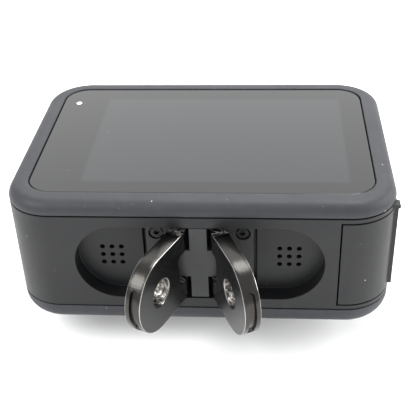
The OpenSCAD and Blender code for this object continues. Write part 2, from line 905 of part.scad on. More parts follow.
module finger(side) {
  color("#232527") in_casing() translate([side * hinge_x, hinge_y, z_mid])
    rotate([0, 0, side * splay]) difference() {
      union() {
        rotate([90, 0, 90]) linear_extrude(finger_t, center = true) {
          translate([-finger_len, 0]) rotate(180) half_disc(finger_r);
          translate([-finger_len, -finger_r])
            square([finger_len - root_end, 2 * finger_r]);
        }
        for (z = [-finger_r, knuckle_in]) translate([0, 0, z]) {
          cylinder(r = knuckle_r, h = finger_r - knuckle_in);
          translate([-knuckle_r, -root_end - cut, 0])
            cube([2 * knuckle_r, root_end + cut, finger_r - knuckle_in]);
        }
      }
      translate([0, 0, -knuckle_in]) cylinder(r = notch_r, h = 2 * knuckle_in);
      rotate([90, 0, 90]) linear_extrude(2 * finger_t, center = true) notch_outline();
      translate([0, 0, -finger_r - cut])
        cylinder(r = hinge_pin_r + pin_slack, h = 2 * (finger_r + cut));
      translate([-finger_t, -finger_len, 0]) rotate([0, 90, 0])
        cylinder(r = finger_bore_r, h = 2 * finger_t);
    }
}

module left_finger() {
  finger(-1);
}

module right_finger() {
  finger(1);
}

// ---- Buttons ----

// A button in its wall: +Z is outwards and z = 0 is the casing's face
module button(l, w) {
  flange_z = -band_wall - hair;
  difference() {
    union() {
      translate([0, 0, flange_z]) linear_extrude(button_proud - flange_z)
        slot_outline(l, w);
      translate([0, 0, flange_z - button_flange_t]) linear_extrude(button_flange_t)
        slot_outline(l + 2 * flange_extra, w + 2 * flange_extra);
      translate([0, 0, flange_z - button_flange_t - stem_l])
        cylinder(r = stem_r, h = stem_l + hair);
    }
    translate([0, 0, -groove_at - seal_t]) linear_extrude(seal_t) difference() {
      slot_outline(l + cut, w + cut);
      slot_outline(l - 2 * groove_deep, w - 2 * groove_deep);
    }
  }
}

module button_seal(l, w) {
  translate([0, 0, -groove_at - seal_t]) linear_extrude(seal_t) difference() {
    slot_outline(l + 2 * slack, w + 2 * slack);
    slot_outline(l - 2 * groove_deep, w - 2 * groove_deep);
  }
}

module dome_switch() {
  top = -band_wall - hair - button_flange_t - stem_l - dome_gap;
  translate([0, 0, top - dome_t]) cylinder(r = 2.4, h = dome_t);
  translate([-3, -2.8, top - dome_t - dome_base_t]) cube([6, 5.6, dome_base_t]);
}

module shutter_button() {
  color("#3f4246") in_casing() at_shutter() button(shutter_l, shutter_w);
}

module shutter_button_seal() {
  color("#0b0b0c") in_casing() at_shutter() button_seal(shutter_l, shutter_w);
}

module shutter_switch() {
  color("#b9bcbf") in_casing() at_shutter() dome_switch();
}

module mode_button() {
  color("#3f4246") in_casing() at_mode() button(mode_l, mode_w);
}

module mode_button_seal() {
  color("#0b0b0c") in_casing() at_mode() button_seal(mode_l, mode_w);
}

module mode_switch() {
  color("#b9bcbf") in_casing() at_mode() dome_switch();
}

// ---- Side door ----

module side_door() {
  depth = door_z1 - door_z0;
  color("#3a3d40") in_casing() difference() {
    union() {
      intersection() {
        translate([0, 0, door_z0]) linear_extrude(depth) difference() {
          casing_outline(0);
          casing_outline(door_t);
        }
        translate([door_pin_x, -cut, door_z0])
          cube([half_w, door_up - door_gap + cut, depth]);
      }
      translate([door_edge_x, 0, door_z0]) cube([door_t / 2, door_t / 2, depth]);
      translate([door_pin_x, door_pin_y, door_z0]) linear_extrude(depth)
        rotate(180) half_disc(door_knuckle_r);
      translate([half_w - door_t / 2, pad_y0, door_z0 + pad_edge])
        cube([door_t / 2 + pad_proud, pad_y1 - pad_y0, depth - 2 * pad_edge]);
    }
    translate([door_pin_x, door_pin_y, door_z0 - cut])
      cylinder(r = door_pin_r + pin_slack, h = depth + 2 * cut);
    translate([half_w - latch_t - latch_gap, latch_y0 - latch_travel - latch_gap,
      z_mid - latch_w / 2 - latch_gap])
      cube([latch_t + cut, latch_y1 - latch_y0 + latch_travel + 2 * latch_gap,
        latch_w + 2 * latch_gap]);
    translate([door_in - cut, stem_y0 - latch_travel - latch_gap,
      z_mid - stem_w / 2 - latch_gap])
      cube([door_t + cut, stem_y1 - stem_y0 + latch_travel + 2 * latch_gap,
        stem_w + 2 * latch_gap]);
  }
}

module door_gasket() {
  color("#0b0b0c") in_casing()
    translate([door_in - gasket_t, (gasket_y0 + bay_y1) / 2, z_mid])
      rotate([90, 0, 90]) linear_extrude(gasket_t) difference() {
        round_rect(gasket_h, gasket_d, 1.6);
        round_rect(gasket_h - 2 * gasket_w, gasket_d - 2 * gasket_w, 0.6);
      }
}

module door_latch() {
  color("#34373a") in_casing() {
    translate([half_w - latch_t, latch_y0, z_mid - latch_w / 2])
      cube([latch_t + latch_proud, latch_y1 - latch_y0, latch_w]);
    translate([door_in - latch_gap - hair, stem_y0, z_mid - stem_w / 2])
      cube([door_t - latch_t + latch_gap + 2 * hair, stem_y1 - stem_y0, stem_w]);
    translate([door_in - latch_gap - bolt_t, bolt_y0, z_mid - bolt_w / 2])
      cube([bolt_t, bolt_y1 - bolt_y0, bolt_w]);
  }
}

// Two rails on the door's inner face that guide the latch's bolt
module latch_guide() {
  color("#2c2e30") in_casing() for (side = [-1, 1])
    translate([door_in - bolt_t, bay_y1 + room,
      z_mid + side * (bolt_w / 2 + latch_gap + guide_w / 2) - guide_w / 2])
      cube([bolt_t, door_up - door_gap - bay_y1 - 2 * room, guide_w]);
}

module door_hinge_pin() {
  color("#c4c6c8") in_casing()
    translate([door_pin_x, door_pin_y, door_z0 - pin_end + hair])
      cylinder(r = door_pin_r, h = door_z1 - door_z0 + 2 * (pin_end - hair));
}

rear_cover();
middle_band();
front_cover();
rear_glass();
rear_display();
rear_glass_adhesive();
status_light_rear();
rear_seam_seal();
front_seam_seal();
front_glass();
front_display();
status_light_front();
lens_cover_frame();
lens_cover_glass();
lens_cover_seal();
lens_barrel();
lens_front_element();
lens_inner_elements();
lens_retaining_ring();
lens_flange();
image_sensor();
sensor_board();
main_board();
processor_shield();
heat_spreader();
battery_bay();
battery();
battery_pull_tab();
battery_contacts();
memory_card();
card_slot();
usb_socket();
usb_tongue();
speaker();
grille_meshes();
drain_microphone();
microphones();
board_screws();
hinge_plate();
centre_post();
hinge_screws();
left_hinge_pin();
right_hinge_pin();
left_finger();
right_finger();
shutter_button();
shutter_button_seal();
shutter_switch();
mode_button();
mode_button_seal();
mode_switch();
side_door();
door_gasket();
door_latch();
latch_guide();
door_hinge_pin();
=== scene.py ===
import json
import math
import bmesh
import bpy
from mathutils import Matrix, Vector


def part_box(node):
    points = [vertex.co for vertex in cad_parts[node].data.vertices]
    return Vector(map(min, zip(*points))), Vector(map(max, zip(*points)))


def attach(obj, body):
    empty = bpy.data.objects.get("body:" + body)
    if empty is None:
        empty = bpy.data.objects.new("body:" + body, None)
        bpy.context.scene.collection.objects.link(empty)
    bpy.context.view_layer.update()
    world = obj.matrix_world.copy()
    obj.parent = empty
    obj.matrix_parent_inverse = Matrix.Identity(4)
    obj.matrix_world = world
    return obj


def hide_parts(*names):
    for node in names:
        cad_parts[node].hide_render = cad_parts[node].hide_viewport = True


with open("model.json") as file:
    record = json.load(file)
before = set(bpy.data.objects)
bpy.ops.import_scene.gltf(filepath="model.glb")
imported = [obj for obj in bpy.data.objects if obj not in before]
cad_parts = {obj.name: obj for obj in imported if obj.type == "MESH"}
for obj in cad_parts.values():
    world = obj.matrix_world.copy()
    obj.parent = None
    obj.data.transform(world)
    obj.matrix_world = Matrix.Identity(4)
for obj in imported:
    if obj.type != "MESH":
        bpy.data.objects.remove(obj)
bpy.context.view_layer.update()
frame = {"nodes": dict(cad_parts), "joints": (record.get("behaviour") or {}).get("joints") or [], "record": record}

MM = 0.001
NODES = frame["nodes"]
BODIES = frame["record"]["behaviour"]["bodies"]
BODY_OF = {name: body for body, names in BODIES.items() for name in names}

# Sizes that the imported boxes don't give: lengths in metres, angles in radians
CASING_CORNER = 8.8 * MM
REAR_EDGE = 2.2 * MM
GLASS_CORNER = 4.8 * MM
GLASS_GAP = 0.2 * MM
FRONT_GLASS_CORNER = 3.5 * MM
SPLAY = math.radians(24)
FINGER_REACH = 10.4 * MM
FINGER_ROUND = 7.35 * MM
FINGER_HOLE = 2.6 * MM
FINGER_THICK = 3.0 * MM
CHIPPED = 2.9 * MM              # from the pin to where the knuckle's chipped coating ends
SOFT_TIP = 0.15 * MM            # rounding of the rear cover's thin lips
GLASS_LEDGE = 1.4 * MM          # how far the rear cover reaches in under the glass
GLASS_BED = 0.1 * MM            # room for the adhesive under the glass
LIGHT_PROUD = 0.02 * MM         # how far a status light stands out of its window
GROUND_EDGE = 0.12 * MM         # ground edge of a window
RIM_CHAMFER = 0.11 * MM
HOLE_CHAMFER = 0.2 * MM
CORNER_STEPS = 14
MERGE = 0.002 * MM              # points closer than this are one point
SIDE_SLACK = 0.05 * MM          # how near a finger's flat side an edge of its rim or hole lies
HOLE_SLACK = 0.2 * MM           # how near the hole's wall an edge of the hole lies
BORE_SLACK = 0.1 * MM           # how near the hole's wall a face of the bore lies
PLAIN_KNUCKLE = 2.6 * MM        # from the pin to where the rim's chamfer starts
GROOVE_HALF = 0.7 * MM          # half the width in which a face can belong to the groove
GROOVE_START = 0.03 * MM        # how far below the rim the groove's finish starts
WEAR_REACH = 0.22 * MM          # how far rubbed edges spread
MM_IN_METRE = 1000.0
SHARP = math.radians(32)        # a softened piece rounds the edges that turn more than this
CUT_SWEEP = 56                  # degrees each way that a finger's rim is cut for its groove
COARSE_SWEEP = 34               # degrees each way in which those cuts stand COARSE_STEP apart
COARSE_STEP = 4
FLOOR_DROP = 0.00002
FLOOR_HALF = 3

# A finger's finishes, by their place in its list of materials
SIDE, RIM, BORE, GROOVE, EDGE, KNUCKLE = range(6)

# How far the lit area stands in from the glass: left, right, near and far
REAR_BORDER = (9.75 * MM, 4.55 * MM, 3.8 * MM, 4.6 * MM)
FRONT_BORDER = (3.0 * MM, 3.0 * MM, 3.4 * MM, 2.6 * MM)

# Colours that more than one finish takes
GLASS_BLACK = (0.0015, 0.0015, 0.0014)
BARE_BRONZE = (0.3, 0.28, 0.26)
ROOM_COLOUR = (0.98, 0.99, 1.0, 1)

# The viewing camera: its place, its right hand and its back
CAMERA_PLACE = (0.029126, -0.153595, 0.114291)
CAMERA_RIGHT = (0.9973, 0.0656, -0.0324)
CAMERA_BACK = (0.0725, -0.8298, 0.5534)
CAMERA_LENS = 72.45

# Soft lamps: name, place, aim, width, height and watts
MIDDLE = (0.016, 0.0, 0.02)
LAMPS = [
    ("lamp_over", (0.17, 0.4, 0.95), MIDDLE, 0.55, 0.5, 8),
    ("lamp_behind", (0.0, 1.25, 0.75), (0.016, 0.0, 0.1), 2.4, 1.3, 12),
    ("lamp_left", (-0.6, -0.35, 0.72), MIDDLE, 0.55, 0.5, 7),
    ("lamp_right", (1.1, 0.15, 0.55), MIDDLE, 0.8, 0.5, 11),
    ("lamp_front", (0.75, -0.85, 0.45), (0.016, -0.03, 0.0), 1.6, 0.35, 13),
]


# ---- Camera, floor and light ----

def add_camera():
    """The camera stands low in front of the fingers' side and looks down at the screen."""
    data = bpy.data.cameras.new("Camera")
    data.sensor_width = 36
    data.lens = CAMERA_LENS
    data.clip_start = 0.005
    camera = bpy.data.objects.new("Camera", data)
    right = Vector(CAMERA_RIGHT).normalized()
    back = Vector(CAMERA_BACK).normalized()
    up = back.cross(right).normalized()
    turn = Matrix((right, up, back)).transposed().to_4x4()
    camera.matrix_world = Matrix.Translation(CAMERA_PLACE) @ turn
    bpy.context.scene.collection.objects.link(camera)
    bpy.context.scene.camera = camera


def add_floor():
    """A plain white table top."""
    bm = bmesh.new()
    bmesh.ops.create_grid(bm, x_segments=1, y_segments=1, size=FLOOR_HALF)
    floor = mesh_object("floor", bm)
    floor.location = (0.0, 0.0, -FLOOR_DROP)
    floor.data.materials.append(table_top())


def add_softbox(name, place, aim, wide, tall, watts):
    """One rectangular soft lamp at place, pointed at aim."""
    data = bpy.data.lights.new(name, "AREA")
    data.shape = "RECTANGLE"
    data.size = wide
    data.size_y = tall
    data.energy = watts
    lamp = bpy.data.objects.new(name, data)
    lamp.location = place
    lamp.rotation_euler = (Vector(aim) - Vector(place)).to_track_quat("-Z", "Y").to_euler()
    bpy.context.scene.collection.objects.link(lamp)
    return lamp


def add_light():
    """A pale room with soft lamps overhead, behind, at the sides and in front."""
    world = bpy.data.worlds.new("Room")
    world.use_nodes = True
    back = world.node_tree.nodes["Background"]
    back.inputs["Color"].default_value = ROOM_COLOUR
    back.inputs["Strength"].default_value = 1.0
    bpy.context.scene.world = world
    lamps = {name: add_softbox(name, *rest) for name, *rest in LAMPS}
    lamps["lamp_front"].visible_glossy = False
    bpy.context.scene.view_settings.view_transform = "Standard"


# ---- Mesh work ----

def mesh_object(name, bm):
    """Turns a bmesh into an object at the origin."""
    mesh = bpy.data.meshes.new(name)
    bm.to_mesh(mesh)
    bm.free()
    made = bpy.data.objects.new(name, mesh)
    bpy.context.scene.collection.objects.link(made)
    return made


def smooth_with_creases(bm, degrees=32):
    """Smooth faces, with every edge sharper than the angle left crisp."""
    for face in bm.faces:
        face.smooth = True
    for edge in bm.edges:
        if len(edge.link_faces) == 2:
            edge.smooth = edge.calc_face_angle(0) < math.radians(degrees)


def merged_copy(node):
    """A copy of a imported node's mesh with its loose triangles joined and flat faces made whole."""
    bm = bmesh.new()
    bm.from_mesh(NODES[node].data)
    bmesh.ops.remove_doubles(bm, verts=bm.verts, dist=MERGE)
    bmesh.ops.dissolve_degenerate(bm, dist=MERGE, edges=bm.edges)
    bmesh.ops.dissolve_limit(bm, angle_limit=math.radians(0.4), verts=bm.verts, edges=bm.edges)
    return bm


def place_piece(piece, node, materials):
    """Gives a piece its finish and lets it ride and stand for its node."""
    for material in materials:
        piece.data.materials.append(material)
    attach(piece, BODY_OF[node])
    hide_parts(node)


def soften(piece, width, segments):
    """Rounds a piece's sharp edges by width."""
    rounding = piece.modifiers.new("soft_edges", "BEVEL")
    rounding.width = width
    rounding.segments = segments
    rounding.limit_method = "ANGLE"
    rounding.angle_limit = SHARP
    rounding.profile = 0.5
    rounding.use_clamp_overlap = False
    rounding.loop_slide = False
    rounding.harden_normals = True
    rounding.material = -1


def softened_node(node, material, width, segments=3):
    """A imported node's own shape with its edges rounded and a finished surface."""
    bm = merged_copy(node)
    smooth_with_creases(bm, 60)
    piece = mesh_object(node + "_finished", bm)
    place_piece(piece, node, [material])
    soften(piece, width, segments)


def outline_of(node, corner):
    """The rounded rectangle round a node: left, right, near, far and corner radius."""
    low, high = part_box(node)
    return (low.x, high.x, low.y, high.y, corner)


def grown(shape, by):
    """The same outline, larger all round."""
    x0, x1, y0, y1, corner = shape
    return (x0 - by, x1 + by, y0 - by, y1 + by, max(corner + by, 0.1 * MM))


def add_loop(bm, shape, height):
    """One flat rounded rectangle at a height. Returns its face."""
    x0, x1, y0, y1, corner = shape
    points = bmesh.ops.create_grid(bm, x_segments=1, y_segments=1, size=0.5)["verts"]
    bmesh.ops.scale(bm, vec=(x1 - x0, y1 - y0, 1), verts=points)
    bmesh.ops.translate(bm, vec=((x0 + x1) / 2, (y0 + y1) / 2, height), verts=points)
    cut = bmesh.ops.bevel(bm, geom=points, offset=corner, offset_type="OFFSET", affect="VERTICES",
                          segments=CORNER_STEPS, profile=0.5, material=-1)
    return cut["verts"][0].link_faces[0]


def moulding(steps, ring=False):
    """A skin over a row of (outline, height) loops: a closed ring, or a plate with both ends covered."""
    bm = bmesh.new()
    faces = [add_loop(bm, shape, height) for shape, height in steps]
    rows = [list(face.edges) for face in faces]
    spare = faces if ring else faces[1:-1]
    bmesh.ops.delete(bm, geom=spare, context="FACES_ONLY")
    if ring:
        rows.append(rows[0])
    for low, high in zip(rows, rows[1:]):
        bmesh.ops.bridge_loops(bm, edges=low + high)
    bmesh.ops.recalc_face_normals(bm, faces=bm.faces)
    return bm


def quarter_round(shape, height, radius, steps):
    """Loops of a rounded edge that rises from height and turns inwards by radius."""
    loops = []
    for i in range(steps + 1):
        turn = math.radians(90 * i / steps)
        loops.append((grown(shape, -radius * (1 - math.cos(turn))), height + radius * math.sin(turn)))
    return loops


# ---- Node helpers ----

def add_node(tree, kind, settings=None, inputs=None):
    """One node with its settings and its unlinked inputs set."""
    made = tree.nodes.new(kind)
    for name, value in (settings or {}).items():
        setattr(made, name, value)
    for name, value in (inputs or {}).items():
        made.inputs[name].default_value = value
    return made


def link(tree, source, output, target, socket):
    """Joins one node's output to another's input."""
    tree.links.new(source.outputs[output], target.inputs[socket])


def new_group(name, inputs, outputs):
    """An empty node group with number inputs and outputs. Returns the tree and its two end nodes."""
    tree = bpy.data.node_groups.new(name, "ShaderNodeTree")
    for label, value in inputs:
        socket = tree.interface.new_socket(label, in_out="INPUT", socket_type="NodeSocketFloat")
        socket.default_value = value
    for label in outputs:
        tree.interface.new_socket(label, in_out="OUTPUT", socket_type="NodeSocketFloat")
    return tree, tree.nodes.new("NodeGroupInput"), tree.nodes.new("NodeGroupOutput")


def use_group(tree, group, **values):
    """Places a shared group in a material with its own values."""
    made = tree.nodes.new("ShaderNodeGroup")
    made.node_tree = group
    for name, value in values.items():
        made.inputs[name].default_value = value
    return made


def maths(tree, operation, first=None, second=None, clamp=False):
    """A Math node with its numbers set where they aren't linked."""
    made = tree.nodes.new("ShaderNodeMath")
    made.operation = operation
    made.use_clamp = clamp
    if first is not None:
        made.inputs[0].default_value = first
    if second is not None:
        made.inputs[1].default_value = second
    return made


def new_material(name, colour, roughness, metallic=0.0):
    """A material with its main shader's plain values set."""
    material = bpy.data.materials.new(name)
    material.use_nodes = True
    material.diffuse_color = (*colour, 1)
    shader = material.node_tree.nodes["Principled BSDF"]
    shader.inputs["Base Color"].default_value = (*colour, 1)
    shader.inputs["Roughness"].default_value = roughness
    shader.inputs["Metallic"].default_value = metallic
    return material, material.node_tree, shader


def colour_mix(tree, low, high):
    """A mix of two colours, with the factor left to be linked."""
    made = tree.nodes.new("ShaderNodeMix")
    made.data_type = "RGBA"
    made.inputs["A"].default_value = (*low, 1)
    made.inputs["B"].default_value = (*high, 1)
    return made


# ---- Shared surface effects ----

def make_grain():
    """Fine moulded grain: a height for the bump."""
    tree, start, end = new_group("fine_grain", [("Size", 0.2)], ["Height"])
    place = add_node(tree, "ShaderNodeTexCoord")
    scale = maths(tree, "DIVIDE", MM_IN_METRE)
    link(tree, start, "Size", scale, 1)
    fine = add_node(tree, "ShaderNodeTexNoise", inputs={"Detail": 3.0, "Roughness": 0.6})
    link(tree, place, "Object", fine, "Vector")
    link(tree, scale, 0, fine, "Scale")
    link(tree, fine, "Fac", end, "Height")
    return tree


def make_dust():
    """Sparse pale specks of dust: a mask."""
    tree, start, end = new_group("dust", [("Spacing", 2.5), ("Radius", 0.1), ("Share", 0.3)], ["Mask"])
    place = add_node(tree, "ShaderNodeTexCoord")
    scale = maths(tree, "DIVIDE", MM_IN_METRE)
    link(tree, start, "Spacing", scale, 1)
    cells = add_node(tree, "ShaderNodeTexVoronoi", {"feature": "F1"}, {"Randomness": 1.0})
    link(tree, place, "Object", cells, "Vector")
    link(tree, scale, 0, cells, "Scale")
    reach = maths(tree, "DIVIDE")
    link(tree, start, "Radius", reach, 0)
    link(tree, start, "Spacing", reach, 1)
    near = maths(tree, "SUBTRACT")
    link(tree, reach, 0, near, 0)
    link(tree, cells, "Distance", near, 1)
    inside = maths(tree, "DIVIDE", clamp=True)
    link(tree, near, 0, inside, 0)
    link(tree, reach, 0, inside, 1)
    chance = add_node(tree, "ShaderNodeSeparateColor")
    link(tree, cells, "Color", chance, 0)
    chosen = maths(tree, "LESS_THAN")
    link(tree, chance, 0, chosen, 0)
    link(tree, start, "Share", chosen, 1)
    both = maths(tree, "MULTIPLY", clamp=True)
    link(tree, inside, 0, both, 0)
    link(tree, chosen, 0, both, 1)
    strong = maths(tree, "MULTIPLY", second=1.6, clamp=True)
    link(tree, both, 0, strong, 0)
    link(tree, strong, 0, end, "Mask")
    return tree


def make_wear():
    """Rubbed edges: a mask that follows sharp edges and breaks up along them."""
    tree, start, end = new_group("edge_wear", [("Amount", 0.5), ("Breaks", 1.5)], ["Mask"])
    shape = add_node(tree, "ShaderNodeNewGeometry")
    rounded = add_node(tree, "ShaderNodeBevel", {"samples": 6}, {"Radius": WEAR_REACH})
    dot = add_node(tree, "ShaderNodeVectorMath", {"operation": "DOT_PRODUCT"})
    tree.links.new(shape.outputs["Normal"], dot.inputs[0])
    tree.links.new(rounded.outputs["Normal"], dot.inputs[1])
    bent = maths(tree, "SUBTRACT", 1.0)
    link(tree, dot, "Value", bent, 1)
    raised = maths(tree, "MULTIPLY", second=6.0, clamp=True)
    link(tree, bent, 0, raised, 0)
    place = add_node(tree, "ShaderNodeTexCoord")
    scale = maths(tree, "DIVIDE", MM_IN_METRE)
    link(tree, start, "Breaks", scale, 1)
    noise = add_node(tree, "ShaderNodeTexNoise", inputs={"Detail": 4.0})
    link(tree, place, "Object", noise, "Vector")
    link(tree, scale, 0, noise, "Scale")
    level = maths(tree, "SUBTRACT", 1.0)
    link(tree, start, "Amount", level, 1)
    above = maths(tree, "SUBTRACT")
    link(tree, noise, "Fac", above, 0)
    link(tree, level, 0, above, 1)
    patch = maths(tree, "MULTIPLY", second=5.0, clamp=True)
    link(tree, above, 0, patch, 0)
    both = maths(tree, "MULTIPLY", clamp=True)
    link(tree, raised, 0, both, 0)
    link(tree, patch, 0, both, 1)
    link(tree, both, 0, end, "Mask")
    return tree


def make_smudge():
    """Handling marks: a slow, soft variation."""
    tree, start, end = new_group("smudges", [("Size", 8.0), ("Contrast", 1.5)], ["Mask"])
    place = add_node(tree, "ShaderNodeTexCoord")
    scale = maths(tree, "DIVIDE", MM_IN_METRE)
    link(tree, start, "Size", scale, 1)
    noise = add_node(tree, "ShaderNodeTexNoise", inputs={"Detail": 5.0, "Roughness": 0.55, "Distortion": 0.4})
    link(tree, place, "Object", noise, "Vector")
    link(tree, scale, 0, noise, "Scale")
    centred = maths(tree, "SUBTRACT", second=0.5)
    link(tree, noise, "Fac", centred, 0)
    spread = maths(tree, "MULTIPLY")
    link(tree, centred, 0, spread, 0)
    link(tree, start, "Contrast", spread, 1)
    back = maths(tree, "ADD", second=0.5, clamp=True)
    link(tree, spread, 0, back, 0)
    link(tree, back, 0, end, "Mask")
    return tree


def make_brushing():
    """Brushed lines along Y and Z once the pattern is turned by Turn degrees about Z."""
    tree, start, end = new_group("brushed_lines", [("Turn", 0.0), ("Fineness", 0.05)], ["Height", "Shade"])
    place = add_node(tree, "ShaderNodeTexCoord")
    radians = maths(tree, "RADIANS")
    link(tree, start, "Turn", radians, 0)
    spin = add_node(tree, "ShaderNodeCombineXYZ")
    link(tree, radians, 0, spin, "Z")
    across = maths(tree, "DIVIDE", MM_IN_METRE)
    link(tree, start, "Fineness", across, 1)
    along = maths(tree, "MULTIPLY", second=0.02)
    link(tree, across, 0, along, 0)
    size = add_node(tree, "ShaderNodeCombineXYZ")
    link(tree, across, 0, size, "X")
    link(tree, along, 0, size, "Y")
    link(tree, along, 0, size, "Z")
    turned = add_node(tree, "ShaderNodeMapping")
    link(tree, place, "Object", turned, "Vector")
    link(tree, spin, 0, turned, "Rotation")
    stretched = add_node(tree, "ShaderNodeVectorMath", {"operation": "MULTIPLY"})
    tree.links.new(turned.outputs[0], stretched.inputs[0])
    tree.links.new(size.outputs[0], stretched.inputs[1])
    lines = add_node(tree, "ShaderNodeTexNoise", inputs={"Scale": 1.0, "Detail": 4.0, "Roughness": 0.7})
    tree.links.new(stretched.outputs[0], lines.inputs["Vector"])
    link(tree, lines, "Fac", end, "Height")
    link(tree, lines, "Fac", end, "Shade")
    return tree


GRAIN = make_grain()
DUST = make_dust()
WEAR = make_wear()
SMUDGE = make_smudge()
BRUSHING = make_brushing()


def add_bump(tree, shader, height_node, output, distance):
    """Feeds a height into the shader's normal."""
    bump = add_node(tree, "ShaderNodeBump", inputs={"Strength": 1.0, "Distance": distance})
    link(tree, height_node, output, bump, "Height")
    link(tree, bump, 0, shader, "Normal")


def add_rough_range(tree, shader, mask, output, low, high):
    """Lets roughness follow a mask between two values."""
    span = add_node(tree, "ShaderNodeMapRange", inputs={"To Min": low, "To Max": high})
    link(tree, mask, output, span, "Value")
    link(tree, span, 0, shader, "Roughness")


def layered_colour(tree, shader, base, shade_mask, shade_output, layers):
    """Base colour varied by a shade mask, then covered by (mask node, colour) layers."""
    dark = [c * 0.88 for c in base]
    light = [min(c * 1.12, 1) for c in base]
    mixed = colour_mix(tree, dark, light)
    link(tree, shade_mask, shade_output, mixed, "Factor")
    last = mixed
    for mask, colour in layers:
        cover = colour_mix(tree, base, colour)
        tree.links.new(last.outputs["Result"], cover.inputs["A"])
        link(tree, mask, "Mask", cover, "Factor")
        last = cover
    tree.links.new(last.outputs["Result"], shader.inputs["Base Color"])


# ---- Finishes ----

def table_top():
    """Plain white paper with a faint tooth."""
    material, tree, shader = new_material("table_paper", (0.9, 0.9, 0.9), 0.8)
    shader.inputs["Specular IOR Level"].default_value = 0.1
    smudge = use_group(tree, SMUDGE, Size=60.0, Contrast=0.3)
    layered = colour_mix(tree, (0.89, 0.89, 0.89), (0.93, 0.93, 0.93))
    link(tree, smudge, "Mask", layered, "Factor")
    tree.links.new(layered.outputs["Result"], shader.inputs["Base Color"])
    return material


def moulded(name, colour, rough_low, rough_high, grain=0.2, depth=0.006, wear=0.35, dust=0.25, spec=0.5,
            wear_colour=(0.16, 0.165, 0.17)):
    """Moulded rubber or plastic: grain, handling marks, rubbed edges and dust."""
    material, tree, shader = new_material(name, colour, rough_low)
    shader.inputs["Specular IOR Level"].default_value = spec
    fine = use_group(tree, GRAIN, Size=grain)
    smudge = use_group(tree, SMUDGE, Size=9.0, Contrast=1.6)
    rubbed = use_group(tree, WEAR, Amount=wear, Breaks=1.2)
    specks = use_group(tree, DUST, Spacing=2.6, Radius=0.13, Share=dust)
    powder = use_group(tree, DUST, Spacing=1.2, Radius=0.11, Share=dust * 0.5)
    mottle = use_group(tree, SMUDGE, Size=1.6, Contrast=2.5)
    layers = [(mottle, [c * 1.3 for c in colour]), (rubbed, wear_colour), (powder, (0.13, 0.13, 0.13))]
    layers.append((specks, (0.7, 0.7, 0.68)))
    layered_colour(tree, shader, colour, smudge, "Mask", layers)
    add_rough_range(tree, shader, smudge, "Mask", rough_low, rough_high)
    add_bump(tree, shader, fine, "Height", depth * MM)
    return material


def metal(name, colour, rough_low, rough_high, turn=0.0, fineness=0.05, depth=0.004, metallic=1.0,
          wear=0.3, wear_colour=(0.75, 0.73, 0.7)):
    """Machined metal: brushed lines, handling marks and bright rubbed edges."""
    material, tree, shader = new_material(name, colour, rough_low, metallic)
    lines = use_group(tree, BRUSHING, Turn=turn, Fineness=fineness)
    smudge = use_group(tree, SMUDGE, Size=4.0, Contrast=1.5)
    rubbed = use_group(tree, WEAR, Amount=wear, Breaks=0.6)
    layered_colour(tree, shader, colour, lines, "Shade", [(rubbed, wear_colour)])
    add_rough_range(tree, shader, smudge, "Mask", rough_low, rough_high)
    add_bump(tree, shader, lines, "Height", depth * MM)
    return material


def screen_window(name, node, lit, border_colour, lit_colour, edge=0.35 * MM):
    """Black glass with a paler lit area: lit is its left, right, near and far distance from the edge."""
    low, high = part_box(node)
    material, tree, shader = new_material(name, border_colour, 0.06)
    shader.inputs["Specular IOR Level"].default_value = 0.5
    place = add_node(tree, "ShaderNodeTexCoord")
    apart = add_node(tree, "ShaderNodeSeparateXYZ")
    link(tree, place, "Object", apart, 0)
    left, right, near, far = lit
    sides = [("X", low.x + left, 1), ("X", high.x - right, -1)]
    sides += [("Y", low.y + near, 1), ("Y", high.y - far, -1)]
    last = None
    for axis, at, sign in sides:
        ramp = add_node(tree, "ShaderNodeMapRange", {"interpolation_type": "SMOOTHSTEP"})
        ramp.inputs["From Min"].default_value = at - sign * edge
        ramp.inputs["From Max"].default_value = at + sign * edge
        link(tree, apart, axis, ramp, "Value")
        if last:
            both = maths(tree, "MULTIPLY")
            link(tree, last, 0, both, 0)
            link(tree, ramp, 0, both, 1)
            last = both
        else:
            last = ramp
    mixed = colour_mix(tree, border_colour, lit_colour)
    link(tree, last, 0, mixed, "Factor")
    specks = use_group(tree, DUST, Spacing=5.0, Radius=0.12, Share=0.25)
    cover = colour_mix(tree, border_colour, (0.25, 0.25, 0.25))
    tree.links.new(mixed.outputs["Result"], cover.inputs["A"])
    link(tree, specks, "Mask", cover, "Factor")
    tree.links.new(cover.outputs["Result"], shader.inputs["Base Color"])
    smudge = use_group(tree, SMUDGE, Size=14.0, Contrast=1.8)
    add_rough_range(tree, shader, smudge, "Mask", 0.05, 0.16)
    return material


def clear_glass(name, tint):
    """Optical glass with a faint coating tint."""
    material, tree, shader = new_material(name, tint, 0.0)
    shader.inputs["Transmission Weight"].default_value = 1.0
    shader.inputs["IOR"].default_value = 1.5
    smudge = use_group(tree, SMUDGE, Size=5.0, Contrast=1.2)
    add_rough_range(tree, shader, smudge, "Mask", 0.0, 0.035)
    return material


def glowing(name, colour, power):
    """A small light window."""
    material, tree, shader = new_material(name, colour, 0.35)
    shader.inputs["Emission Color"].default_value = (*colour, 1)
    shader.inputs["Emission Strength"].default_value = power
    smudge = use_group(tree, SMUDGE, Size=1.0, Contrast=0.6)
    add_rough_range(tree, shader, smudge, "Mask", 0.25, 0.45)
    return material


